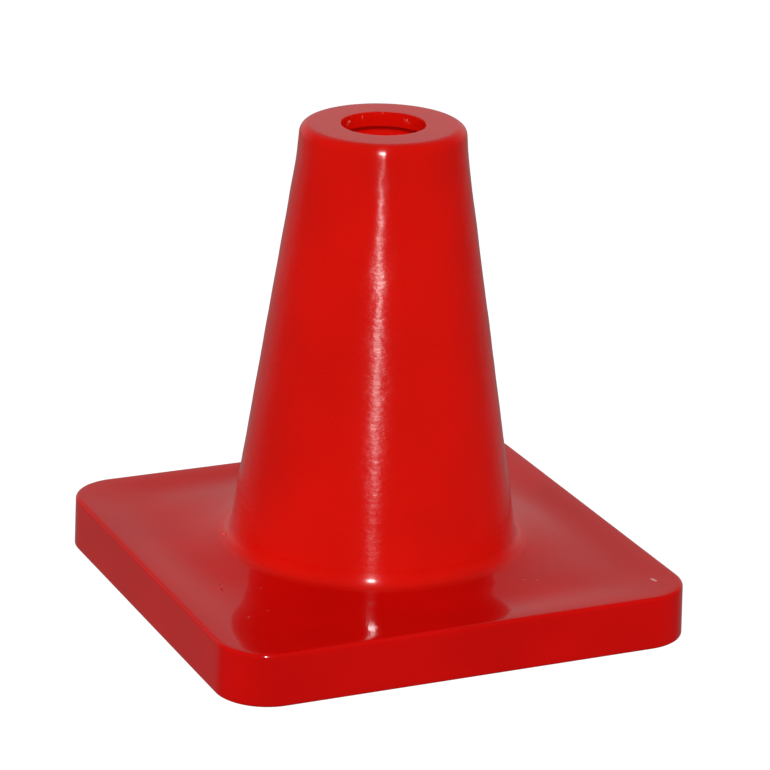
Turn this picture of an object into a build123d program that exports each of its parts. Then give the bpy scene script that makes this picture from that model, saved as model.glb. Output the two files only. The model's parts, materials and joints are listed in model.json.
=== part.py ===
from build123d import *

import os
from math import hypot, radians, tan

# A small vinyl marker cone on a weighted square base, in millimetres, +Z up.
# The origin is the middle of the footprint, on the floor.
# Three mouldings: the tapered cone snaps into the base cover by a groove round its foot,
# and the ballast plate presses into the cover from below and traps the cone's flange.

# Overall sizes
HEIGHT = 150.0
BASE_SIDE = 152.0
BASE_HEIGHT = 16.5
BASE_CORNER_RADIUS = 16.0
BASE_DRAFT_DEG = 1.3

# Cone, by its outside: the foot is measured level with the base's top face,
# and the top where the straight side would end. The collar swells past that side.
CONE_FOOT_RADIUS = 45.0
CONE_TOP_RADIUS = 24.3
CONE_WALL = 1.8
COLLAR_HEIGHT = 11.0
COLLAR_SWELL = 0.85
TOP_WALL = 4.5
TOP_HOLE_RADIUS = 12.85
SHOULDER_ROUND = 3.2
INNER_SHOULDER_CHAMFER = 1.5

# Foot joint: a filleted lip above the cover's plate and a flange below it
FOOT_FILLET = 5.5
FOOT_LIP_OVERLAP = 5.0
FOOT_LIP_THICKNESS = 0.4
FLANGE_OVERLAP = 4.0
FLANGE_THICKNESS = 3.0
FLANGE_CHAMFER = 0.8

# Base cover: a tray, open below, with a snap lip round its lower edge
PLATE_THICKNESS = 4.0
SKIRT_WALL = 4.0
COVER_TOP_CHAMFER = 0.8
COVER_FLOOR_CHAMFER = 0.6
SNAP_LIP_DEPTH = 1.0
SNAP_LIP_HEIGHT = 2.0

# Ballast plate
BALLAST_EDGE_CHAMFER = 0.6
RECESS_CHAMFER = 0.8

# Clearances
FIT_GAP = 0.1
STACK_GAP = 0.5

# Levels and radii that more than one piece uses
plate_underside = BASE_HEIGHT - PLATE_THICKNESS
flange_underside = plate_underside - FLANGE_THICKNESS
neck_radius = CONE_FOOT_RADIUS
lip_radius = CONE_FOOT_RADIUS + FOOT_LIP_OVERLAP
flange_radius = CONE_FOOT_RADIUS + FLANGE_OVERLAP
lip_top = BASE_HEIGHT + FOOT_LIP_THICKNESS
draft_per_mm = tan(radians(BASE_DRAFT_DEG))
cone_taper = (CONE_FOOT_RADIUS - CONE_TOP_RADIUS) / (HEIGHT - BASE_HEIGHT)


def outer_radius(level):
    """Radius of the cone's outside at a height above the floor."""
    return CONE_FOOT_RADIUS - cone_taper * (level - BASE_HEIGHT)


def inner_radius(level):
    """Radius of the cone's inside, with the wall measured square to its surface."""
    return outer_radius(level) - CONE_WALL * hypot(1.0, cone_taper)


def nearest_vertex(face, corner):
    """The face's vertex at a profile point."""
    return face.vertices().sort_by_distance((*corner, 0))[0]


def drafted_block(inset, bottom, top):
    """The base's drafted outline, drawn in by an inset, between two heights."""
    drawn_in = inset + bottom * draft_per_mm
    side = BASE_SIDE - 2 * drawn_in
    outline = RectangleRounded(side, side, BASE_CORNER_RADIUS - drawn_in)
    return extrude(Pos(0, 0, bottom) * outline, top - bottom, taper=BASE_DRAFT_DEG)


def make_cone_body():
    """Hollow tapered body: holed top wall, collar, straight side, filleted lip, neck, flange."""
    top_underside = HEIGHT - TOP_WALL
    collar_foot = HEIGHT - COLLAR_HEIGHT
    shoulder = (CONE_TOP_RADIUS + COLLAR_SWELL, HEIGHT)
    foot = (outer_radius(lip_top), lip_top)
    flange_lower_edge = (flange_radius, flange_underside)
    inner_shoulder = (inner_radius(top_underside), top_underside)
    outline = Polyline(
        (TOP_HOLE_RADIUS, HEIGHT),
        shoulder,
        (outer_radius(collar_foot), collar_foot),
        foot,
        (lip_radius, lip_top),
        (lip_radius, BASE_HEIGHT),
        (neck_radius, BASE_HEIGHT),
        (neck_radius, plate_underside),
        (flange_radius, plate_underside),
        flange_lower_edge,
        (inner_radius(flange_underside), flange_underside),
        inner_shoulder,
        (TOP_HOLE_RADIUS, top_underside),
        close=True,
    )
    profile = make_face(outline)
    eased_corners = [
        (fillet, shoulder, SHOULDER_ROUND),
        (fillet, foot, FOOT_FILLET),
        (chamfer, flange_lower_edge, FLANGE_CHAMFER),
        (chamfer, inner_shoulder, INNER_SHOULDER_CHAMFER),
    ]
    for ease, corner, reach in eased_corners:
        profile = ease(nearest_vertex(profile, corner), reach)
    return revolve(Plane.XZ * profile, Axis.Z)


def make_base_cover():
    """Square tray, open below: holed top plate, drafted skirt and snap lip."""
    cover = drafted_block(0, 0, BASE_HEIGHT)
    cover = chamfer(cover.edges().group_by(Axis.Z)[-1], COVER_TOP_CHAMFER)
    cover = chamfer(cover.edges().group_by(Axis.Z)[0], COVER_FLOOR_CHAMFER)
    cover -= drafted_block(SKIRT_WALL, SNAP_LIP_HEIGHT, plate_underside)
    cover -= drafted_block(SKIRT_WALL + SNAP_LIP_DEPTH, 0, SNAP_LIP_HEIGHT)
    neck_hole = extrude(Circle(neck_radius + FIT_GAP), PLATE_THICKNESS)
    return cover - Pos(0, 0, plate_underside) * neck_hole


def make_ballast_plate():
    """Heavy plate that fills the tray, seated on the snap lip and bored for stacking."""
    plate = drafted_block(SKIRT_WALL + FIT_GAP, SNAP_LIP_HEIGHT, plate_underside)
    plate = chamfer(plate.edges().group_by(Axis.Z)[-1], BALLAST_EDGE_CHAMFER)
    plate += drafted_block(SKIRT_WALL + SNAP_LIP_DEPTH + FIT_GAP, 0, SNAP_LIP_HEIGHT)

    flange_seat_radius = flange_radius + FIT_GAP
    recess_radius = lip_radius + STACK_GAP
    recess_top = FOOT_LIP_THICKNESS + FOOT_FILLET + STACK_GAP
    bore = make_face(
        Polyline(
            (0, 0),
            (recess_radius + RECESS_CHAMFER, 0),
            (recess_radius, RECESS_CHAMFER),
            (recess_radius, recess_top),
            (inner_radius(recess_top) + FIT_GAP, recess_top),
            (inner_radius(flange_underside) + FIT_GAP, flange_underside),
            (flange_seat_radius, flange_underside),
            (flange_seat_radius, plate_underside),
            (0, plate_underside),
            close=True,
        )
    )
    return plate - revolve(Plane.XZ * bore, Axis.Z)


def main():
    os.makedirs("parts", exist_ok=True)
    pieces = {
        "cone_body": make_cone_body(),
        "base_cover": make_base_cover(),
        "ballast_plate": make_ballast_plate(),
    }
    for node, solid in pieces.items():
        export_step(solid, f"parts/{node}.step")


main()
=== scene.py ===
"""Dresses a packed marker cone: vinyl skins for the cone and base, a ballast finish and a studio stage."""
import json
from math import ceil, cos, hypot, pi, radians, sin, tan

import bmesh
import bpy
from mathutils import Matrix, Vector, noise


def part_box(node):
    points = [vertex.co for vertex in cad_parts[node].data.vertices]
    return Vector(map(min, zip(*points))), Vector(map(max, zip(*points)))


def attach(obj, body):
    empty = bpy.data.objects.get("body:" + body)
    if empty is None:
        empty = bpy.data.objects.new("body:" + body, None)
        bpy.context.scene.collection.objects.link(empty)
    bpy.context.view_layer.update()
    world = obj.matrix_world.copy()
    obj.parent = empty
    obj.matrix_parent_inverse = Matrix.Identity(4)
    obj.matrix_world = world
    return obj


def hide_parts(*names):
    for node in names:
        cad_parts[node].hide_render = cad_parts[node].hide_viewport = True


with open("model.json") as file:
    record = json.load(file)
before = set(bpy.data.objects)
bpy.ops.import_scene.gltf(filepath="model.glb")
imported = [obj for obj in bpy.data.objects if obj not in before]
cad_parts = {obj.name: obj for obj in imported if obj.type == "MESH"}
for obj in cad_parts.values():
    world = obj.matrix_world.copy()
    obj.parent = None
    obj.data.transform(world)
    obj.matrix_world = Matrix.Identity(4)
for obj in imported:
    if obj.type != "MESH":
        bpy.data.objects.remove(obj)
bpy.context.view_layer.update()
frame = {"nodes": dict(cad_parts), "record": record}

bl_info = {
    "name": "Marker Cone",
    "version": (1, 0, 0),
    "blender": (4, 5, 0),
    "location": "3D Viewport > Sidebar > Marker Cone",
    "description": "Vinyl skins, ballast finish and studio stage for a packed marker cone",
    "category": "Add Mesh",
}

MM = 0.001
FULL_TURN = 2 * pi
RIGHT_ANGLE = pi / 2
BLACK = (0.0, 0.0, 0.0, 1.0)
WHITE = (1.0, 1.0, 1.0, 1.0)

# Edges that bend more than this stay sharp
SHARP_ANGLE = radians(40)
# Largest bend in one step of a rounded corner
ARC_STEP = radians(8)
# Points that lie closer than this become one
MERGE_DISTANCE = 0.001 * MM
# A noise value keeps within about a quarter of its middle, and the spread brings that to about one
NOISE_MIDDLE = 0.5
NOISE_SPREAD = 4.0
# Width in millimetres of the sensor that the camera's lens is given for
SENSOR_WIDTH = 36

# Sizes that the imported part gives
cone_low, cone_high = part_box("cone_body")
_, cover_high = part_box("base_cover")
_, ballast_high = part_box("ballast_plate")
top_hole = next(mount for mount in frame["record"]["mounts"] if mount["name"] == "top_hole")

# Marks in the base's top, in millimetres: x, y, turn in degrees, length, width,
# lift as a share of the mark height, paleness, which on two specks is a painted highlight for their glints
BASE_MARKS = (
    (-58.0, -19.3, 57.0, 3.4, 0.7, -1.0, 0.0),
    (-59.2, -23.1, 83.0, 4.8, 0.7, -1.0, 0.0),
    (-59.3, -45.2, 20.0, 1.6, 1.1, 1.0, 0.1),
    (-52.4, -42.8, 0.0, 1.1, 0.9, 0.8, 0.1),
    (-48.1, -27.1, 40.0, 1.8, 0.9, 0.8, 0.0),
    (29.7, -48.1, 0.0, 1.3, 0.9, -0.8, 0.0),
    (33.4, -49.4, 30.0, 1.5, 0.9, -0.8, 0.0),
    (56.5, -17.6, 0.0, 1.4, 1.0, -0.8, 0.0),
    (66.8, -61.7, -78.0, 3.6, 1.5, 1.5, 1.0),
)

# Scraps of torn vinyl, in millimetres: turn in degrees, radius, height,
# then half sizes outward, round and upright
SCRAPS = (
    (120.0, 12.8, 148.1, 0.35, 0.7, 0.55),
    (124.0, 12.8, 147.5, 0.25, 0.5, 0.3),
    (34.0, 12.8, 148.2, 0.35, 0.8, 0.6),
    (29.0, 12.8, 147.6, 0.25, 0.6, 0.35),
    (96.0, 12.85, 148.7, 0.18, 0.25, 0.8),
    (67.0, 12.8, 149.7, 0.25, 0.35, 0.2),
    (-166.0, 12.75, 149.5, 0.35, 0.5, 0.4),
    (-172.0, 12.8, 148.9, 0.3, 0.4, 0.5),
    (163.0, 46.4, 18.1, 0.5, 0.5, 0.6),
)


def size(label, description, default):
    """A length property, in metres."""
    return bpy.props.FloatProperty(
        name=label, description=description, default=default, precision=5, subtype="DISTANCE", unit="LENGTH"
    )


def turn(label, description, degrees):
    """An angle property, given in degrees."""
    return bpy.props.FloatProperty(
        name=label, description=description, default=radians(degrees), subtype="ANGLE", unit="ROTATION"
    )


def amount(label, description, default):
    """A plain number property."""
    return bpy.props.FloatProperty(name=label, description=description, default=default, precision=4)


def count(label, description, default):
    """A whole number property."""
    return bpy.props.IntProperty(name=label, description=description, default=default, min=0)


def colour(label, description, default):
    """A linear colour property."""
    return bpy.props.FloatVectorProperty(
        name=label, description=description, default=default, size=3, subtype="COLOR", min=0.0, max=1.0
    )


class ConeSettings(bpy.types.PropertyGroup):
    """Sizes of the tapered vinyl cone."""

    height: size("Height", "Top of the cone above the floor", cone_high.z)
    hole_radius: size("Hole radius", "Radius of the hole in the top", top_hole["dims"]["r_mm"] * MM)
    top_wall: size("Top wall", "Thickness of the top", top_hole["dims"]["length_mm"] * MM)
    top_radius: size("Top radius", "Outer radius at the top, if the side ran straight", 24.3 * MM)
    foot_radius: size("Foot radius", "Outer radius level with the base's top", 45 * MM)
    collar_height: size("Collar height", "Height of the swollen collar under the top", 11 * MM)
    collar_swell: size("Collar swell", "How far the collar stands out at the top", 0.85 * MM)
    collar_blend: size("Collar blend", "Radius that blends the collar into the side", 150 * MM)
    wall: size("Wall", "Wall thickness, square to the surface", 1.8 * MM)
    shoulder_round: size("Shoulder round", "Radius of the shoulder", 3.2 * MM)
    inner_round: size("Inner round", "Radius inside the shoulder", 1.5 * MM)
    rim_round: size("Rim round", "Radius of the hole's edges", 0.3 * MM)
    foot_fillet: size("Foot fillet", "Radius where the side meets the lip", 3.4 * MM)
    lip_radius: size("Lip radius", "Outer radius of the lip on the base", 48.2 * MM)
    flange_radius: size("Flange radius", "Outer radius of the flange under the cover", 49 * MM)
    flange_underside: size("Flange underside", "Height of the flange's lower face", cone_low.z)
    flange_round: size("Flange round", "Radius of the flange's lower edge", 0.8 * MM)
    steps: count("Steps", "Divisions round the cone", 320)
    spacing: size("Spacing", "Longest division along the profile", 1.4 * MM)
    waviness: size("Waviness", "Waves in the soft wall; they stray a quarter of this either way", 0.34 * MM)
    wave_scale: amount("Wave scale", "Closeness of the waves up the cone, against round it", 30.0)
    wave_turns: amount("Wave turns", "Fineness of the waves", 3.0)
    wave_rise: size("Wave rise", "Height above the lip over which the waves set in", 15 * MM)
    ring_gap: size("Ring gap", "Distance from the top down to the turned rings", 2.4615 * MM)
    ring_fade: size("Ring fade", "Height over which the turned rings fade out at each end", 2 * MM)
    rim_reach: size("Rim reach", "How far from the hole's edge the raggedness reaches", 1.2 * MM)
    rim_raggedness: size("Rim raggedness", "How far the punched hole's edge strays", 0.2 * MM)
    torn_depth: size("Torn depth", "Extra raggedness where the rim is torn", 0.7 * MM)
    torn_turn: turn("Torn turn", "Direction of the torn stretch of the rim", -168.0)
    torn_spread: turn("Torn spread", "Half the torn stretch", 16.0)
    scrap_raggedness: amount("Scrap raggedness", "Stray of a scrap's surface, as a share of its size", 0.3)


class BaseSettings(bpy.types.PropertyGroup):
    """Sizes of the square base cover."""

    height: size("Height", "Top of the base above the floor", cover_high.z)
    half_side: size("Half side", "Half the base's side, just above the floor round", cover_high.x)
    corner_radius: size("Corner radius", "Radius of the corners at the floor", 16 * MM)
    draft: turn("Draft", "Lean of the sides", 1.3)
    top_round: size("Top round", "Radius of the upper edge", 1.1 * MM)
    floor_round: size("Floor round", "Radius of the lower edge", 0.6 * MM)
    hole_radius: size("Hole radius", "Radius of the hole that the cone snaps into", 45.1 * MM)
    plate_underside: size("Plate underside", "Height of the top plate's lower face", ballast_high.z)
    skirt_wall: size("Skirt wall", "Thickness of the sides", 4 * MM)
    snap_depth: size("Snap depth", "How far the snap lip stands in", 1 * MM)
    snap_height: size("Snap height", "Height of the snap lip", 2 * MM)
    side_steps: count("Side steps", "Divisions along a straight side", 44)
    corner_steps: count("Corner steps", "Divisions round a corner", 16)
    plate_steps: count("Plate steps", "Divisions across the top plate", 40)
    sink: size("Sink", "Depth of the moulding sink in the top plate", 0.55 * MM)
    flare: size("Flare", "Rise of the top plate at the cone's lip", 1.2 * MM)
    flare_start: size("Flare start", "Radius where the plate starts to rise", 63 * MM)
    flare_bend: amount("Flare bend", "How much the rise crowds towards the lip", 2.5)
    seat_radius: size("Seat radius", "Radius of the rebate that takes the lip", 48.215 * MM)


class FinishSettings(bpy.types.PropertyGroup):
    """Colours, gloss and fine relief of the three mouldings."""

    vinyl: colour("Vinyl", "Colour of the cone's red vinyl", (0.62, 0.0042, 0.0012))
    # Painted shade: the base's red is set darker than the cone's to stand in for the shade that falls low by
    # the floor
    shade_darkened_base_vinyl: colour("Base vinyl", "Colour of the base's red vinyl", (0.575, 0.002, 0.0011))
    # Partly the whitening of stretched vinyl, partly a painted highlight for the light that the scraps catch
    torn: colour("Torn vinyl", "Colour of stretched or torn vinyl", (0.74, 0.09, 0.07))
    # Pale colour that the marks' paleness mixes in: the pale nick, and a painted highlight for the glints of
    # two specks
    scuff_and_glint: colour("Scuff and glint", "Colour of pale scuffs on the base", (0.8, 0.4, 0.34))
    rubber: colour("Rubber", "Colour of the ballast", (0.03, 0.03, 0.032))
    speck: colour("Speck", "Colour of the pale crumbs in the ballast", (0.10, 0.10, 0.105))
    vinyl_ior: amount("Vinyl IOR", "Refractive index of the vinyl", 1.46)
    rubber_ior: amount("Rubber IOR", "Refractive index of the ballast", 1.5)
    ring_depth: size("Ring depth", "Depth that a ring height of one stands for", 0.07 * MM)
    mark_height: size("Mark height", "Height of a mark whose lift is one", 0.16 * MM)
    side_peel: size("Side peel", "Unevenness of the cone's side", 0.004 * MM)
    smooth_peel: size("Smooth peel", "Unevenness of the base and of the cone's top", 0.003 * MM)
    torn_peel: size("Torn peel", "Unevenness of torn vinyl", 0.02 * MM)
    crumb_depth: size("Crumb depth", "Depth of the crumbs in the ballast", 0.08 * MM)


class StageSettings(bpy.types.PropertyGroup):
    """Camera, floor and lights."""

    azimuth: turn("Azimuth", "Turn of the camera about the cone", -24.279)
    elevation: turn("Elevation", "Height of the camera above the horizon", 19.532)
    roll: turn("Roll", "Lean of the camera", 1.58)
    distance: size("Distance", "Camera distance from the aim point", 1.2061)
    aim: bpy.props.FloatVectorProperty(
        name="Aim",
        description="Point in the middle of the picture",
        default=(0.0013, -0.0035, 0.0676),
        subtype="TRANSLATION",
        unit="LENGTH",
    )
    lens: amount("Lens", "Focal length in millimetres on a 36 mm sensor", 183.74)
    floor_half: size("Floor half side", "Half the side of the floor", 3.0)
    floor_drop: size("Floor drop", "Gap that keeps the floor clear of the part's underside", 0.1 * MM)
    flash_rise: turn("Flash rise", "Height of the flash above the camera, seen from the cone", 5.0)
    flash_size: size("Flash size", "Width of the flash", 0.075)
    flash_power: amount("Flash power", "Power of the flash in watts", 11.1)
    side_turn: turn("Side turn", "Turn of the side softboxes away from the camera", 77.0)
    side_rise: turn("Side rise", "Height of the side softboxes above the horizon", 4.5)
    side_distance: size("Side distance", "Distance of the side softboxes from the aim point", 0.9)
    side_size: size("Side size", "Width of the side softboxes", 0.5)
    left_power: amount("Left power", "Power of the left softbox in watts", 4.6)
    right_power: amount("Right power", "Power of the right softbox in watts", 4.0)
    overhead_rise: turn("Overhead rise", "Height of the overhead softbox above the far horizon", 66.0)
    overhead_distance: size("Overhead distance", "Distance of the overhead softbox from the aim point", 0.42)
    overhead_size: size("Overhead size", "Width of the overhead softbox", 0.3)
    overhead_power: amount("Overhead power", "Power of the overhead softbox in watts", 0.68)
    hollow_height: size("Hollow height", "Height of the lamp inside the cone", 0.115)
    hollow_size: size("Hollow size", "Radius of the lamp inside the cone", 0.01)
    hollow_power: amount("Hollow power", "Power of the lamp that stands for light through the wall", 0.0125)
    backdrop_turn: turn("Backdrop turn", "Turn of the lit backdrop to the left of straight back", 5.0)
    backdrop_glow: amount("Backdrop glow", "Brightness of the lit backdrop in reflections", 0.38)
    room_glow: amount("Room glow", "Brightness of the rest of the room in reflections", 0.065)


class Graph:
    """Writes a node tree one node at a time; an input takes a value or another node's output."""

    def __init__(self, tree):
        self.tree = tree

    def add(self, kind, inputs=None, **settings):
        node = self.tree.nodes.new(kind)
        for name, value in settings.items():
            setattr(node, name, value)
        for name, value in (inputs or {}).items():
            self.feed(node.inputs[name], value)
        return node

    def feed(self, socket, value):
        if isinstance(value, bpy.types.NodeSocket):
            self.tree.links.new(value, socket)
        else:
            socket.default_value = value

    def math(self, operation, *values):
        node = self.add("ShaderNodeMath", dict(enumerate(values)), operation=operation)
        return node.outputs[0]

    def mix(self, factor, first, second):
        node = self.add("ShaderNodeMix", {0: factor, 6: first, 7: second}, data_type="RGBA")
        return node.outputs[2]

    def remap(self, value, low, high, to_low=0.0, to_high=1.0):
        inputs = {"Value": value, "From Min": low, "From Max": high, "To Min": to_low, "To Max": to_high}
        return self.add("ShaderNodeMapRange", inputs, interpolation_type="SMOOTHSTEP").outputs[0]

    def noise(self, vector, scale, detail=2.0, roughness=0.5):
        inputs = {"Vector": vector, "Scale": scale, "Detail": detail, "Roughness": roughness}
        return self.add("ShaderNodeTexNoise", inputs).outputs[0]

    def stretched(self, vector, scale):
        """Coordinates scaled differently along each axis."""
        node = self.add("ShaderNodeVectorMath", {0: vector, 1: scale}, operation="MULTIPLY")
        return node.outputs[0]


def rgba(linear):
    """A linear colour with full alpha."""
    return (*linear, 1.0)


# Geometry


def link_object(name, data):
    """A new object at the origin, in the scene."""
    made = bpy.data.objects.new(name, data)
    bpy.context.scene.collection.objects.link(made)
    return made


def corner_arc(here, before, after, rounding, spacing):
    """Points of the arc that rounds a corner, or the corner itself."""
    if rounding == 0:
        return [here]
    to_before = (before - here).normalized()
    to_after = (after - here).normalized()
    half = to_before.angle(to_after) / 2
    centre = here + (to_before + to_after).normalized() * (rounding / sin(half))
    first = here + to_before * (rounding / tan(half)) - centre
    last = here + to_after * (rounding / tan(half)) - centre
    bend = pi - 2 * half
    steps = max(ceil(bend / ARC_STEP), ceil(bend * rounding / spacing))
    return [centre + first.slerp(last, step / steps).normalized() * rounding for step in range(steps + 1)]


def rounded_outline(corners, spacing):
    """Closed outline through (radius, height, rounding) corners, its straights divided evenly."""
    places = [Vector((radius, 0, height)) for radius, height, _ in corners]
    arcs = []
    for index, here in enumerate(places):
        after = places[(index + 1) % len(places)]
        arcs.append(corner_arc(here, places[index - 1], after, corners[index][2], spacing))
    points = []
    for index, arc in enumerate(arcs):
        start = arc[-1]
        end = arcs[(index + 1) % len(arcs)][0]
        steps = max(1, ceil((end - start).length / spacing))
        points.extend(arc)
        points.extend(start.lerp(end, step / steps) for step in range(1, steps))
    return points


def new_geometry_tree(name, inputs):
    """A geometry node tree with a geometry input and output and the named extra inputs."""
    tree = bpy.data.node_groups.new(name, "GeometryNodeTree")
    tree.interface.new_socket("Geometry", in_out="INPUT", socket_type="NodeSocketGeometry")
    tree.interface.new_socket("Geometry", in_out="OUTPUT", socket_type="NodeSocketGeometry")
    for label, kind in inputs.items():
        tree.interface.new_socket(label, in_out="INPUT", socket_type=kind)
    graph = Graph(tree)
    return graph, graph.add("NodeGroupInput").outputs, graph.add("NodeGroupOutput").inputs


def run_tree(piece, tree, values):
    """Runs a geometry tree on a piece and keeps the result as its plain mesh."""
    modifier = piece.modifiers.new(tree.name, "NODES")
    modifier.node_group = tree
    for item in tree.interface.items_tree:
        if item.in_out == "INPUT" and item.name in values:
            modifier[item.identifier] = values[item.name]
    depsgraph = bpy.context.evaluated_depsgraph_get()
    mesh = bpy.data.meshes.new_from_object(piece.evaluated_get(depsgraph), depsgraph=depsgraph)
    piece.modifiers.remove(modifier)
    mesh.polygons.foreach_set("material_index", [0] * len(mesh.polygons))
    mesh.materials.clear()
    mesh.materials.append(values["Material"])
    piece.data = mesh


def smooth_with_edges(graph, mesh):
    """Shades a tree's mesh smooth, apart from its sharp edges."""
    smooth = graph.add("GeometryNodeSetShadeSmooth", {0: mesh}).outputs[0]
    bend = graph.add("GeometryNodeInputMeshEdgeAngle").outputs[0]
    sharp = graph.math("GREATER_THAN", bend, SHARP_ANGLE)
    inputs = {0: smooth, 1: sharp, 2: False}
    return graph.add("GeometryNodeSetShadeSmooth", inputs, domain="EDGE").outputs[0]


def end_tree(graph, result, mesh, material):
    """Ends a geometry tree in real geometry with its material set."""
    real = graph.add("GeometryNodeRealizeInstances", {"Geometry": mesh}).outputs[0]
    painted = graph.add("GeometryNodeSetMaterial", {"Geometry": real, "Material": material}).outputs[0]
    graph.feed(result["Geometry"], painted)


def turned_skin_tree():
    """Turns a profile of points about Z into a closed skin with slow waves in it."""
    labels = {
        "Steps": "NodeSocketInt",
        "Waviness": "NodeSocketFloat",
        "Wave Scale": "NodeSocketFloat",
        "Wave Turns": "NodeSocketFloat",
        "Wave Foot": "NodeSocketFloat",
        "Wave Rise": "NodeSocketFloat",
        "Material": "NodeSocketMaterial",
    }
    graph, given, result = new_geometry_tree("Turned Skin", labels)
    profile = given["Geometry"]
    counted = graph.add("GeometryNodeAttributeDomainSize", {0: profile}, component="MESH")
    rows = counted.outputs["Point Count"]
    columns = graph.math("ADD", given["Steps"], 1)
    grid = graph.add("GeometryNodeMeshGrid", {"Vertices X": columns, "Vertices Y": rows}).outputs["Mesh"]
    index = graph.add("GeometryNodeInputIndex").outputs[0]
    row = graph.math("FLOORED_MODULO", index, rows)
    column = graph.math("FLOOR", graph.math("DIVIDE", index, rows))
    angle = graph.math("MULTIPLY", graph.math("DIVIDE", column, given["Steps"]), FULL_TURN)
    position = graph.add("GeometryNodeInputPosition").outputs[0]
    source = {"Geometry": profile, "Index": row}
    sampled = graph.add("GeometryNodeSampleIndex", source, data_type="FLOAT_VECTOR", domain="POINT")
    graph.feed(sampled.inputs["Value"], position)
    part = graph.add("ShaderNodeSeparateXYZ", {0: sampled.outputs[0]}).outputs
    across = graph.math("COSINE", angle)
    along = graph.math("SINE", angle)
    climb = graph.math("MULTIPLY", part["Z"], given["Wave Scale"])
    where = graph.add("ShaderNodeCombineXYZ", {"X": across, "Y": along, "Z": climb}).outputs[0]
    swell = graph.math("SUBTRACT", graph.noise(where, given["Wave Turns"]), NOISE_MIDDLE)
    waves_in_full = graph.math("ADD", given["Wave Foot"], given["Wave Rise"])
    depth = graph.remap(part["Z"], given["Wave Foot"], waves_in_full, 0.0, given["Waviness"])
    radius = graph.math("MULTIPLY_ADD", swell, depth, part["X"])
    turned = {
        "X": graph.math("MULTIPLY", radius, across),
        "Y": graph.math("MULTIPLY", radius, along),
        "Z": part["Z"],
    }
    place = graph.add("ShaderNodeCombineXYZ", turned).outputs[0]
    placed = graph.add("GeometryNodeSetPosition", {"Geometry": grid, "Position": place}).outputs[0]
    merging = {"Geometry": placed, "Distance": MERGE_DISTANCE}
    closed = graph.add("GeometryNodeMergeByDistance", merging).outputs[0]
    end_tree(graph, result, smooth_with_edges(graph, closed), given["Material"])
    return graph.tree


def cone_outline(cone, base):
    """Outline of the cone's wall, from the hole's upper edge out, down the side and back up the inside."""
    taper = (cone.foot_radius - cone.top_radius) / (cone.height - base.height)
    across_wall = cone.wall * hypot(1, taper)

    def outer(level):
        return cone.foot_radius - taper * (level - base.height)

    top_underside = cone.height - cone.top_wall
    lip_top = base.height + base.flare
    lip_slope = base.flare_bend * base.flare / (base.flare_start - cone.lip_radius)
    foot_level = lip_top + lip_slope * (cone.lip_radius - cone.foot_radius)
    collar_foot = cone.height - cone.collar_height
    corners = [
        (cone.hole_radius, cone.height, cone.rim_round),
        (cone.top_radius + cone.collar_swell, cone.height, cone.shoulder_round),
        (outer(collar_foot), collar_foot, cone.collar_blend),
        (outer(foot_level), foot_level, cone.foot_fillet),
        (cone.lip_radius, lip_top, 0),
        (cone.lip_radius, base.height, 0),
        (cone.foot_radius, base.height, 0),
        (cone.foot_radius, base.plate_underside, 0),
        (cone.flange_radius, base.plate_underside, 0),
        (cone.flange_radius, cone.flange_underside, cone.flange_round),
        (outer(cone.flange_underside) - across_wall, cone.flange_underside, 0),
        (outer(top_underside) - across_wall, top_underside, cone.inner_round),
        (cone.hole_radius, top_underside, cone.rim_round),
    ]
    return rounded_outline(corners, cone.spacing)


def profile_object(name, points):
    """An object that holds a closed profile's points; the first comes again at the end."""
    mesh = bpy.data.meshes.new(name)
    mesh.from_pydata([*points, points[0]], [], [])
    return link_object(name, mesh)


def eased(value, low, high):
    """Smooth step from 0 at low to 1 at high."""
    way = min(1, max(0, (value - low) / (high - low)))
    return way * way * (3 - 2 * way)


def roughen_rim(mesh, cone):
    """Strays the punched hole's edge off its circle, most at the top and where it is torn."""
    wander_scale = 9
    fray_scale = 23
    fray_down = 40
    fray_share = 0.6
    tear_scale = 60
    end = cone.hole_radius + cone.rim_reach
    full = cone.hole_radius + cone.rim_reach / 3
    torn_way = Vector((cos(cone.torn_turn), sin(cone.torn_turn), 0))
    for vertex in mesh.vertices:
        place = vertex.co
        radius = hypot(place.x, place.y)
        if radius >= end:
            continue
        outward = Vector((place.x, place.y, 0)) / radius
        depth = (cone.height - place.z) / cone.top_wall
        frayed = noise.noise(outward * fray_scale + Vector((0, 0, fray_down * depth)))
        ragged = cone.rim_raggedness * (noise.noise(outward * wander_scale) + fray_share * frayed)
        torn = cone.torn_depth * eased(outward.dot(torn_way), cos(cone.torn_spread), 1)
        stray = ragged + torn * noise.noise(outward * tear_scale)
        near_edge = 1 - eased(radius, full, end)
        near_top = max(0, 1 - 2 * depth)
        vertex.co = place + outward * (stray * near_edge * near_top)


def finish_smooth_faces(mesh, cover_height, material):
    """Gives the cone a second finish everywhere but on its turned outer side."""
    least_outward = 0.05
    mesh.materials.append(material)
    for face in mesh.polygons:
        outward = face.normal.xy.dot(face.center.xy.normalized()) > least_outward
        face.material_index = 0 if outward and face.center.z > cover_height else 1


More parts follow.
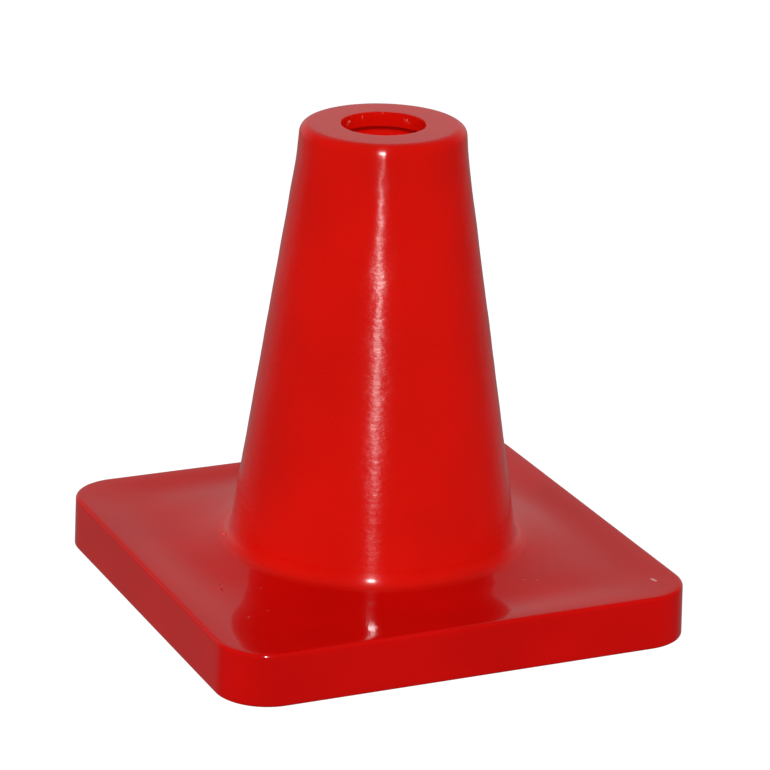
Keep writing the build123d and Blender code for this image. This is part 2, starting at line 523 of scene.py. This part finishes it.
def scraps_tree():
    """Sets a ragged scrap on each point, turned about Z and sized by the point's own values."""
    labels = {"Raggedness": "NodeSocketFloat", "Material": "NodeSocketMaterial"}
    graph, given, result = new_geometry_tree("Scraps", labels)
    ball = graph.add("GeometryNodeMeshIcoSphere", {"Radius": 1.0, "Subdivisions": 2}).outputs["Mesh"]
    where = graph.add("GeometryNodeInputPosition").outputs[0]
    outward = graph.add("GeometryNodeInputNormal").outputs[0]
    rough = graph.math("SUBTRACT", graph.noise(where, scale=1.7), NOISE_MIDDLE)
    stray = graph.math("MULTIPLY", rough, graph.math("MULTIPLY", given["Raggedness"], NOISE_SPREAD))
    offset = graph.add("ShaderNodeVectorMath", {0: outward, "Scale": stray}, operation="SCALE").outputs[0]
    ragged = graph.add("GeometryNodeSetPosition", {"Geometry": ball, "Offset": offset}).outputs[0]
    scrap = graph.add("GeometryNodeSetShadeSmooth", {0: ragged}).outputs[0]
    kept = {"half_sizes": "FLOAT_VECTOR", "turn": "FLOAT"}
    values = {}
    for name, kind in kept.items():
        node = graph.add("GeometryNodeInputNamedAttribute", {"Name": name}, data_type=kind)
        values[name] = node.outputs["Attribute"]
    turned = graph.add("ShaderNodeCombineXYZ", {"Z": values["turn"]}).outputs[0]
    points = graph.add("GeometryNodeMeshToPoints", {"Mesh": given["Geometry"]}).outputs[0]
    inputs = {"Points": points, "Instance": scrap, "Rotation": turned, "Scale": values["half_sizes"]}
    placed = graph.add("GeometryNodeInstanceOnPoints", inputs).outputs[0]
    end_tree(graph, result, placed, given["Material"])
    return graph.tree


def scrap_points(name):
    """An object with one point for each scrap, which keeps the scrap's turn and half sizes."""
    mesh = bpy.data.meshes.new(name)
    turns = [radians(scrap[0]) for scrap in SCRAPS]
    places = []
    for angle, (_, radius, height, *_) in zip(turns, SCRAPS):
        places.append((radius * cos(angle) * MM, radius * sin(angle) * MM, height * MM))
    mesh.from_pydata(places, [], [])
    mesh.attributes.new("turn", "FLOAT", "POINT").data.foreach_set("value", turns)
    sizes = [half * MM for scrap in SCRAPS for half in scrap[3:]]
    mesh.attributes.new("half_sizes", "FLOAT_VECTOR", "POINT").data.foreach_set("vector", sizes)
    return link_object(name, mesh)


def face_outward(mesh):
    """Turns a closed mesh's normals outward."""
    shape = bmesh.new()
    shape.from_mesh(mesh)
    bmesh.ops.recalc_face_normals(shape, faces=shape.faces)
    shape.to_mesh(mesh)
    shape.free()


def rounded_square(half, corner, base):
    """Points of a rounded square, the same count for every size."""
    flat = half - corner
    points = []
    for quarter in range(4):
        spin = Matrix.Rotation(quarter * RIGHT_ANGLE, 2)
        for step in range(base.side_steps):
            points.append(spin @ Vector((half, flat * (2 * step / base.side_steps - 1))))
        for step in range(base.corner_steps):
            angle = step / base.corner_steps * RIGHT_ANGLE
            points.append(spin @ Vector((flat + corner * cos(angle), flat + corner * sin(angle))))
    return points


def raised(points, level):
    """Flat points lifted to a height."""
    return [Vector((point.x, point.y, level)) for point in points]


def tray_rings(base):
    """Rings of the base cover from its outer lower edge up, over the plate and down the inside."""
    floor_steps = 4
    wall_steps = 9
    edge_steps = 8
    under_steps = 4
    sink_end = 0.88
    lean = tan(base.draft)

    def outline(inset, level):
        drawn_in = inset + (level - base.floor_round) * lean
        return raised(rounded_square(base.half_side - drawn_in, base.corner_radius - drawn_in, base), level)

    def circle(ring, radius, level):
        return [Vector((*(point.xy.normalized() * radius), level)) for point in ring]

    rings = []
    for step in range(floor_steps + 1):
        angle = step / floor_steps * RIGHT_ANGLE
        rings.append(outline(base.floor_round * (1 - sin(angle)), base.floor_round * (1 - cos(angle))))
    wall_height = base.height - base.top_round - base.floor_round
    for step in range(1, wall_steps):
        rings.append(outline(0, base.floor_round + step / wall_steps * wall_height))
    for step in range(edge_steps + 1):
        angle = step / edge_steps * RIGHT_ANGLE
        level = base.height - base.top_round * (1 - sin(angle))
        rings.append(outline(base.top_round * (1 - cos(angle)), level))
    rim = rings[-1]
    edge = circle(rim, base.seat_radius, base.height)
    for step in range(1, base.plate_steps + 1):
        way = step / base.plate_steps
        sunk = base.sink * sin(pi * min(1, way / sink_end)) ** 2
        ring = [outer.lerp(inner, way) for outer, inner in zip(rim, edge)]
        for point in ring:
            near = max(0, (base.flare_start - point.xy.length) / (base.flare_start - base.seat_radius))
            point.z = base.height - sunk + base.flare * near ** base.flare_bend
        rings.append(ring)
    rings.append(edge)
    rings.append(circle(rim, base.hole_radius, base.height))
    inside = outline(base.skirt_wall, base.plate_underside)
    below = circle(rim, base.hole_radius, base.plate_underside)
    for step in range(under_steps + 1):
        rings.append([inner.lerp(outer, step / under_steps) for inner, outer in zip(below, inside)])
    rings.append(outline(base.skirt_wall, base.snap_height))
    rings.append(outline(base.skirt_wall + base.snap_depth, base.snap_height))
    rings.append(outline(base.skirt_wall + base.snap_depth, 0))
    return rings


def shade_smooth_with_edges(mesh):
    """Shades a plain mesh smooth, apart from its sharp edges."""
    mesh.shade_smooth()
    mesh.set_sharp_from_angle(angle=SHARP_ANGLE)


def ring_mesh(name, rings):
    """A closed mesh through rings of equal count, the last joined to the first."""
    across = len(rings[0])
    vertices = [point for ring in rings for point in ring]
    faces = []
    for row in range(len(rings)):
        below = row * across
        above = (row + 1) % len(rings) * across
        for column in range(across):
            beside = (column + 1) % across
            faces.append((below + column, below + beside, above + beside, above + column))
    mesh = bpy.data.meshes.new(name)
    mesh.from_pydata(vertices, [], faces)
    return mesh


# Materials


def shader_group(name, inputs, outputs):
    """A shader node group with the named sockets."""
    tree = bpy.data.node_groups.new(name, "ShaderNodeTree")
    for label, kind in inputs.items():
        tree.interface.new_socket(label, in_out="INPUT", socket_type=kind)
    for label, kind in outputs.items():
        tree.interface.new_socket(label, in_out="OUTPUT", socket_type=kind)
    graph = Graph(tree)
    return graph, graph.add("NodeGroupInput").outputs, graph.add("NodeGroupOutput").inputs


def handled_vinyl_group():
    """Colour, smudges and fine surface height of moulded vinyl that has been handled."""
    cloud_darkness = 0.1
    peel_share = 3.0
    inputs = {"Vector": "NodeSocketVector", "Colour": "NodeSocketColor"}
    outputs = {"Colour": "NodeSocketColor", "Smudge": "NodeSocketFloat", "Height": "NodeSocketFloat"}
    graph, given, result = shader_group("Handled Vinyl", inputs, outputs)
    cloud = graph.noise(given["Vector"], scale=24.0, detail=3.0)
    smudge = graph.noise(given["Vector"], scale=55.0, detail=4.0)
    peel = graph.noise(given["Vector"], scale=140.0)
    grain = graph.noise(given["Vector"], scale=900.0)
    darker = graph.mix(cloud_darkness, given["Colour"], BLACK)
    graph.feed(result["Colour"], graph.mix(graph.remap(cloud, 0.35, 0.7), given["Colour"], darker))
    graph.feed(result["Smudge"], graph.remap(smudge, 0.45, 0.75))
    graph.feed(result["Height"], graph.math("MULTIPLY_ADD", peel, peel_share, grain))
    return graph.tree


def turned_marks_group():
    """Height of the rings that a turned mould leaves, how strongly they show, and where they are."""
    fine_rings = (380.0, 380.0, 850.0)
    broad_rings = (60.0, 60.0, 420.0)
    broad_share = 1.5
    # Shares of the way up the side between which the rings gain strength, and then calm down
    gain_start = 0.1
    gain_end = 0.42
    calm_start = 0.7
    calm_end = 0.85
    # Strength at the foot, then strength and height near the top, as shares of the most
    foot_strength = 0.42
    top_strength = 0.57
    top_height = 0.5
    inputs = {"Vector": "NodeSocketVector"}
    inputs.update({label: "NodeSocketFloat" for label in ("Foot", "Top", "Fade")})
    outputs = {label: "NodeSocketFloat" for label in ("Height", "Ringed", "Turned")}
    graph, given, result = shader_group("Turned Marks", inputs, outputs)
    foot = given["Foot"]
    top = given["Top"]
    fine = graph.noise(graph.stretched(given["Vector"], fine_rings), scale=1.0)
    broad = graph.noise(graph.stretched(given["Vector"], broad_rings), scale=1.0, detail=1.0)
    level = graph.add("ShaderNodeSeparateXYZ", {0: given["Vector"]}).outputs["Z"]
    above_foot = graph.remap(level, foot, graph.math("ADD", foot, given["Fade"]))
    below_top = graph.remap(level, graph.math("SUBTRACT", top, given["Fade"]), top, 1.0, 0.0)
    turned = graph.math("MULTIPLY", above_foot, below_top)
    climbed = graph.math("SUBTRACT", level, foot)
    way = graph.math("DIVIDE", climbed, graph.math("SUBTRACT", top, foot))
    gain = graph.remap(way, gain_start, gain_end, foot_strength, 1.0)
    strength = graph.math("MULTIPLY", gain, graph.remap(way, calm_start, calm_end, 1.0, top_strength))
    calmer = graph.remap(way, calm_start, calm_end, 1.0, top_height)
    height = graph.math("MULTIPLY", graph.math("MULTIPLY_ADD", broad, broad_share, fine), calmer)
    graph.feed(result["Height"], graph.math("MULTIPLY", height, turned))
    graph.feed(result["Ringed"], graph.math("MULTIPLY", turned, strength))
    graph.feed(result["Turned"], turned)
    return graph.tree


def moulding_marks_group():
    """Mask and height of the small nicks, pits and specks in the base's top; the mask paints the nick pale,
    and two specks faintly pale as a painted highlight for their glints.
    """
    edge_stray = 0.4 * MM
    half_depth = 2 * MM
    full_share = 0.3
    outputs = {"Pale": "NodeSocketFloat", "Height": "NodeSocketFloat"}
    graph, given, result = shader_group("Moulding Marks", {"Vector": "NodeSocketVector"}, outputs)
    wander = graph.add("ShaderNodeTexNoise", {"Vector": given["Vector"], "Scale": 900.0}).outputs["Color"]
    shift = {0: wander, 1: (edge_stray, edge_stray, edge_stray), 2: given["Vector"]}
    strayed = graph.add("ShaderNodeVectorMath", shift, operation="MULTIPLY_ADD").outputs[0]
    pale = 0.0
    height = 0.0
    for x, y, degrees, length, width, lift, paleness in BASE_MARKS:
        inputs = {
            "Vector": strayed,
            "Location": (x * MM, y * MM, cover_high.z),
            "Rotation": (0, 0, radians(degrees)),
            "Scale": (length / 2 * MM, width / 2 * MM, half_depth),
        }
        placed = graph.add("ShaderNodeMapping", inputs, vector_type="TEXTURE").outputs[0]
        away = graph.add("ShaderNodeVectorMath", {0: placed}, operation="LENGTH").outputs["Value"]
        mask = graph.remap(away, full_share, 1.0, 1.0, 0.0)
        height = graph.math("MULTIPLY_ADD", mask, lift, height)
        pale = graph.math("MULTIPLY_ADD", mask, paleness, pale)
    graph.feed(result["Pale"], pale)
    graph.feed(result["Height"], height)
    return graph.tree


def new_material(name):
    """A material with its graph, Principled shader and object coordinates."""
    material = bpy.data.materials.new(name)
    material.use_nodes = True
    graph = Graph(material.node_tree)
    shader = material.node_tree.nodes["Principled BSDF"]
    where = graph.add("ShaderNodeTexCoord").outputs["Object"]
    return material, graph, shader, where


def use_group(graph, tree, inputs):
    """The outputs of a shader node group, fed with inputs."""
    return graph.add("ShaderNodeGroup", inputs, node_tree=tree).outputs


def bump(graph, height, distance, strength=1.0, normal=None):
    """A normal from a height, whose one stands for the distance."""
    inputs = {"Height": height, "Distance": distance, "Strength": strength}
    if normal is not None:
        inputs["Normal"] = normal
    return graph.add("ShaderNodeBump", inputs).outputs[0]


def shared_group(name, build):
    """A shader node group by name, built on first use."""
    return bpy.data.node_groups.get(name) or build()


def start_vinyl(name, finish, red):
    """A red vinyl material with its colour and refractive index set."""
    material, graph, shader, where = new_material(name)
    group = shared_group("Handled Vinyl", handled_vinyl_group)
    vinyl = use_group(graph, group, {"Vector": where, "Colour": rgba(red)})
    graph.feed(shader.inputs["Base Color"], vinyl["Colour"])
    shader.inputs["IOR"].default_value = finish.vinyl_ior
    return material, graph, shader, where, vinyl


def smudged(graph, vinyl, clean, dull):
    """A roughness that goes from clean to dull where vinyl is smudged."""
    return graph.remap(vinyl["Smudge"], 0.0, 1.0, clean, dull)


def ringed_vinyl(finish, foot, top, fade):
    """Glossy red vinyl with turned rings on its side, which draw the light into an upright streak."""
    material, graph, shader, where, vinyl = start_vinyl("Ringed vinyl", finish, finish.vinyl)
    inputs = {"Vector": where, "Foot": foot, "Top": top, "Fade": fade}
    rings = use_group(graph, shared_group("Turned Marks", turned_marks_group), inputs)
    end_roughness = 0.22
    side_roughness = 0.1
    plain = graph.remap(rings["Turned"], 0.0, 1.0, end_roughness, side_roughness)
    added = smudged(graph, vinyl, clean=0.16, dull=0.19)
    graph.feed(shader.inputs["Roughness"], graph.math("MULTIPLY_ADD", rings["Ringed"], added, plain))
    ringed = bump(graph, rings["Height"], finish.ring_depth)
    graph.feed(shader.inputs["Normal"], bump(graph, vinyl["Height"], finish.side_peel, normal=ringed))
    tangent = graph.add("ShaderNodeTangent", direction_type="RADIAL", axis="Z").outputs[0]
    graph.feed(shader.inputs["Tangent"], tangent)
    # A quarter turn stretches the highlight up the side, not round it
    shader.inputs["Anisotropic"].default_value = 0.95
    shader.inputs["Anisotropic Rotation"].default_value = 0.25
    return material


def smooth_vinyl(finish):
    """Glossy red vinyl of the cone's top, hole, flange and inside, which have no rings."""
    material, graph, shader, _, vinyl = start_vinyl("Smooth vinyl", finish, finish.vinyl)
    graph.feed(shader.inputs["Roughness"], smudged(graph, vinyl, clean=0.07, dull=0.1))
    graph.feed(shader.inputs["Normal"], bump(graph, vinyl["Height"], finish.smooth_peel))
    return material


def shade_darkened_base_vinyl(finish):
    """Glossy red vinyl of the base, smooth enough to mirror the cone, with a few moulding marks; its red is
    darker than the cone's as painted shade.
    """
    # The darker base red is painted shade
    material, graph, shader, where, vinyl = start_vinyl("Base vinyl", finish, finish.shade_darkened_base_vinyl)
    marks = use_group(graph, shared_group("Moulding Marks", moulding_marks_group), {"Vector": where})
    # Paleness paints the nick pale and gives two specks a faint painted highlight for their glints
    graph.feed(shader.inputs["Base Color"], graph.mix(marks["Pale"], vinyl["Colour"], rgba(finish.scuff_and_glint)))
    graph.feed(shader.inputs["Roughness"], smudged(graph, vinyl, clean=0.06, dull=0.1))
    marked = bump(graph, marks["Height"], finish.mark_height)
    graph.feed(shader.inputs["Normal"], bump(graph, vinyl["Height"], finish.smooth_peel, normal=marked))
    return material


def torn_vinyl(finish):
    """Stretched, torn vinyl: paler than the rest, with a dull ragged surface; the paleness is partly
    whitened stretched vinyl and partly a painted highlight for the light that the scraps catch.
    """
    material, graph, shader, where, vinyl = start_vinyl("Torn vinyl", finish, finish.vinyl)
    stretched = graph.remap(graph.noise(where, scale=1500.0), 0.35, 0.65)
    # The pale patches are partly stretched vinyl and partly a painted highlight
    graph.feed(shader.inputs["Base Color"], graph.mix(stretched, vinyl["Colour"], rgba(finish.torn)))
    graph.feed(shader.inputs["Roughness"], smudged(graph, vinyl, clean=0.3, dull=0.5))
    graph.feed(shader.inputs["Normal"], bump(graph, vinyl["Height"], finish.torn_peel))
    return material


def ballast_rubber(finish):
    """Matt recycled rubber with pale crumbs."""
    material, graph, shader, where = new_material("Ballast rubber")
    crumbs = graph.add("ShaderNodeTexVoronoi", {"Vector": where, "Scale": 700.0}).outputs
    tint = graph.noise(crumbs["Position"], scale=900.0, detail=0.0)
    speckled = graph.mix(graph.remap(tint, 0.62, 0.68), rgba(finish.rubber), rgba(finish.speck))
    graph.feed(shader.inputs["Base Color"], speckled)
    graph.feed(shader.inputs["Roughness"], graph.remap(crumbs["Distance"], 0.0, 1.0, 0.6, 0.85))
    graph.feed(shader.inputs["Normal"], bump(graph, crumbs["Distance"], finish.crumb_depth, strength=0.6))
    shader.inputs["IOR"].default_value = finish.rubber_ior
    return material


def floor_paper():
    """Plain white paper, bright enough that only a faint contact shadow shows."""
    dark_fibre = rgba((0.14, 0.14, 0.14))
    pale_fibre = rgba((0.15, 0.15, 0.15))
    glow = 0.98
    material, graph, shader, where = new_material("Floor paper")
    fibre = graph.noise(where, scale=60.0, detail=3.0)
    graph.feed(shader.inputs["Base Color"], graph.mix(fibre, dark_fibre, pale_fibre))
    shader.inputs["Roughness"].default_value = 1.0
    shader.inputs["Specular IOR Level"].default_value = 0.0
    shader.inputs["Emission Color"].default_value = WHITE
    shader.inputs["Emission Strength"].default_value = glow
    return material


# Stage


def direction(azimuth, elevation):
    """Unit vector from the aim point towards a viewpoint."""
    return Vector((sin(azimuth) * cos(elevation), -cos(azimuth) * cos(elevation), sin(elevation)))


def facing(place, target, roll=0.0):
    """A matrix at a place that looks at a target, leaned by a roll."""
    look = (target - place).to_track_quat("-Z", "Y").to_matrix().to_4x4()
    return Matrix.Translation(place) @ look @ Matrix.Rotation(roll, 4, "Z")


def add_camera(stage):
    """The camera, at the angle of the picture."""
    camera = bpy.data.cameras.new("Camera")
    camera.lens = stage.lens
    camera.sensor_width = SENSOR_WIDTH
    placed = link_object("Camera", camera)
    aim = Vector(stage.aim)
    place = aim + direction(stage.azimuth, stage.elevation) * stage.distance
    placed.matrix_world = facing(place, aim, stage.roll)
    bpy.context.scene.camera = placed


def add_softbox(name, place, target, across, power, mirrored):
    """A round area light that faces a target; unmirrored ones light no reflection."""
    light = bpy.data.lights.new(name, "AREA")
    light.shape = "DISK"
    light.size = across
    light.energy = power
    light.cycles.use_multiple_importance_sampling = mirrored
    placed = link_object(name, light)
    placed.matrix_world = facing(place, target)
    placed.visible_glossy = mirrored
    placed.visible_camera = False


def add_lights(stage):
    """A flash above the camera, and a softbox overhead and on each side."""
    aim = Vector(stage.aim)
    flash = aim + direction(stage.azimuth, stage.elevation + stage.flash_rise) * stage.distance
    add_softbox("Flash", flash, aim, stage.flash_size, stage.flash_power, mirrored=True)
    overhead = aim + direction(stage.azimuth + pi, stage.overhead_rise) * stage.overhead_distance
    add_softbox("Overhead", overhead, aim, stage.overhead_size, stage.overhead_power, mirrored=False)
    for name, side, power in (("Left", -1, stage.left_power), ("Right", 1, stage.right_power)):
        toward = direction(stage.azimuth + side * stage.side_turn, stage.side_rise)
        place = aim + toward * stage.side_distance
        add_softbox(name, place, aim, stage.side_size, power, mirrored=False)


def add_hollow_lamp(stage):
    """A small lamp inside the cone, in place of the light that comes through its thin wall."""
    light = bpy.data.lights.new("Hollow lamp", "POINT")
    light.energy = stage.hollow_power
    light.shadow_soft_size = stage.hollow_size
    placed = link_object("Hollow lamp", light)
    placed.location = (0, 0, stage.hollow_height)
    placed.visible_glossy = False
    placed.visible_camera = False


def add_floor(stage):
    """Plain pale floor that throws no colour or reflection back at the cone."""
    half = stage.floor_half
    corners = ((-half, -half), (half, -half), (half, half), (-half, half))
    mesh = bpy.data.meshes.new("Floor")
    mesh.from_pydata([(x, y, -stage.floor_drop) for x, y in corners], [], [(0, 1, 2, 3)])
    mesh.materials.append(floor_paper())
    floor = link_object("Floor", mesh)
    floor.visible_diffuse = False
    floor.visible_glossy = False


def shade_world(stage):
    """White to the camera, and to everything else a pale backdrop in a dim room."""
    world = bpy.data.worlds.new("Studio")
    bpy.context.scene.world = world
    world.use_nodes = True
    world.cycles.sampling_method = "NONE"
    graph = Graph(world.node_tree)
    where = graph.add("ShaderNodeTexCoord").outputs["Generated"]
    back = {0: where, 1: direction(stage.azimuth + stage.backdrop_turn + pi, 0)}
    behind = graph.add("ShaderNodeVectorMath", back, operation="DOT_PRODUCT").outputs["Value"]
    lift = graph.add("ShaderNodeSeparateXYZ", {0: where}).outputs["Z"]
    # The backdrop is brightest straight behind, and dims below the horizon and high up
    low_share = 0.38
    high_share = 0.55
    across = graph.remap(behind, 0.3, 0.95)
    below = graph.remap(lift, -0.15, 0.05, low_share, 1.0)
    above = graph.remap(lift, 0.2, 0.55, 1.0, high_share)
    lit = graph.math("MULTIPLY", across, graph.math("MULTIPLY", below, above))
    backdrop = graph.math("MULTIPLY_ADD", lit, stage.backdrop_glow, stage.room_glow)
    seen = graph.add("ShaderNodeLightPath").outputs["Is Camera Ray"]
    strength = graph.add("ShaderNodeMix", {0: seen, 2: backdrop, 3: 1.0}).outputs[0]
    background = world.node_tree.nodes["Background"]
    background.inputs["Color"].default_value = WHITE
    graph.feed(background.inputs["Strength"], strength)


# Operators


def adopt(piece, node):
    """Fixes a finished piece to the part's one body and hides the CAD node that it takes the place of."""
    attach(piece, "root")
    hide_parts(node)


class MARKER_OT_cone(bpy.types.Operator):
    """Turn the cone's vinyl skin and paint it"""

    bl_idname = "marker_cone.cone"
    bl_label = "Cone"

    def execute(self, context):
        cone = context.scene.marker_cone
        base = context.scene.marker_base
        finish = context.scene.marker_finish
        piece = profile_object("cone_skin", cone_outline(cone, base))
        lip_top = base.height + base.flare
        ring_foot = lip_top + cone.foot_fillet
        ring_top = cone.height - cone.ring_gap
        values = {
            "Steps": cone.steps,
            "Waviness": cone.waviness,
            "Wave Scale": cone.wave_scale,
            "Wave Turns": cone.wave_turns,
            "Wave Foot": lip_top,
            "Wave Rise": cone.wave_rise,
            "Material": ringed_vinyl(finish, ring_foot, ring_top, cone.ring_fade),
        }
        run_tree(piece, turned_skin_tree(), values)
        roughen_rim(piece.data, cone)
        face_outward(piece.data)
        finish_smooth_faces(piece.data, base.height, smooth_vinyl(finish))
        adopt(piece, "cone_body")
        return {"FINISHED"}


class MARKER_OT_base(bpy.types.Operator):
    """Build the base cover with its sunken plate"""

    bl_idname = "marker_cone.base"
    bl_label = "Base"

    def execute(self, context):
        rings = tray_rings(context.scene.marker_base)
        piece = link_object("base_skin", ring_mesh("base_skin", rings))
        face_outward(piece.data)
        shade_smooth_with_edges(piece.data)
        piece.data.materials.append(shade_darkened_base_vinyl(context.scene.marker_finish))
        adopt(piece, "base_cover")
        return {"FINISHED"}


class MARKER_OT_scraps(bpy.types.Operator):
    """Set the scraps of torn vinyl on the hole's wall and at the foot"""

    bl_idname = "marker_cone.scraps"
    bl_label = "Scraps"

    def execute(self, context):
        piece = scrap_points("vinyl_scraps")
        values = {
            "Raggedness": context.scene.marker_cone.scrap_raggedness,
            "Material": torn_vinyl(context.scene.marker_finish),
        }
        run_tree(piece, scraps_tree(), values)
        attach(piece, "root")
        return {"FINISHED"}


class MARKER_OT_ballast(bpy.types.Operator):
    """Paint the ballast plate"""

    bl_idname = "marker_cone.ballast"
    bl_label = "Ballast"

    def execute(self, context):
        node = frame["nodes"]["ballast_plate"]
        node.data.materials.clear()
        node.data.materials.append(ballast_rubber(context.scene.marker_finish))
        return {"FINISHED"}


class MARKER_OT_stage(bpy.types.Operator):
    """Set up the floor, lights and camera"""

    bl_idname = "marker_cone.stage"
    bl_label = "Stage"

    def execute(self, context):
        stage = context.scene.marker_stage
        add_camera(stage)
        add_lights(stage)
        add_hollow_lamp(stage)
        add_floor(stage)
        shade_world(stage)
        context.scene.view_settings.view_transform = "Standard"
        return {"FINISHED"}


class MARKER_PT_panel(bpy.types.Panel):
    """Lists the marker cone's build steps"""

    bl_idname = "MARKER_PT_panel"
    bl_label = "Marker Cone"
    bl_space_type = "VIEW_3D"
    bl_region_type = "UI"
    bl_category = "Marker Cone"

    def draw(self, context):
        for operator in OPERATORS:
            self.layout.operator(operator.bl_idname)


OPERATORS = (MARKER_OT_cone, MARKER_OT_base, MARKER_OT_scraps, MARKER_OT_ballast, MARKER_OT_stage)
SETTINGS = {
    "marker_cone": ConeSettings,
    "marker_base": BaseSettings,
    "marker_finish": FinishSettings,
    "marker_stage": StageSettings,
}


def register():
    for kind in (*SETTINGS.values(), *OPERATORS, MARKER_PT_panel):
        bpy.utils.register_class(kind)
    for name, kind in SETTINGS.items():
        setattr(bpy.types.Scene, name, bpy.props.PointerProperty(type=kind))


def unregister():
    for name in SETTINGS:
        delattr(bpy.types.Scene, name)
    for kind in reversed((*SETTINGS.values(), *OPERATORS, MARKER_PT_panel)):
        bpy.utils.unregister_class(kind)


def main():
    register()
    bpy.ops.marker_cone.cone()
    bpy.ops.marker_cone.base()
    bpy.ops.marker_cone.scraps()
    bpy.ops.marker_cone.ballast()
    bpy.ops.marker_cone.stage()


if __name__ == "__main__":
    main()
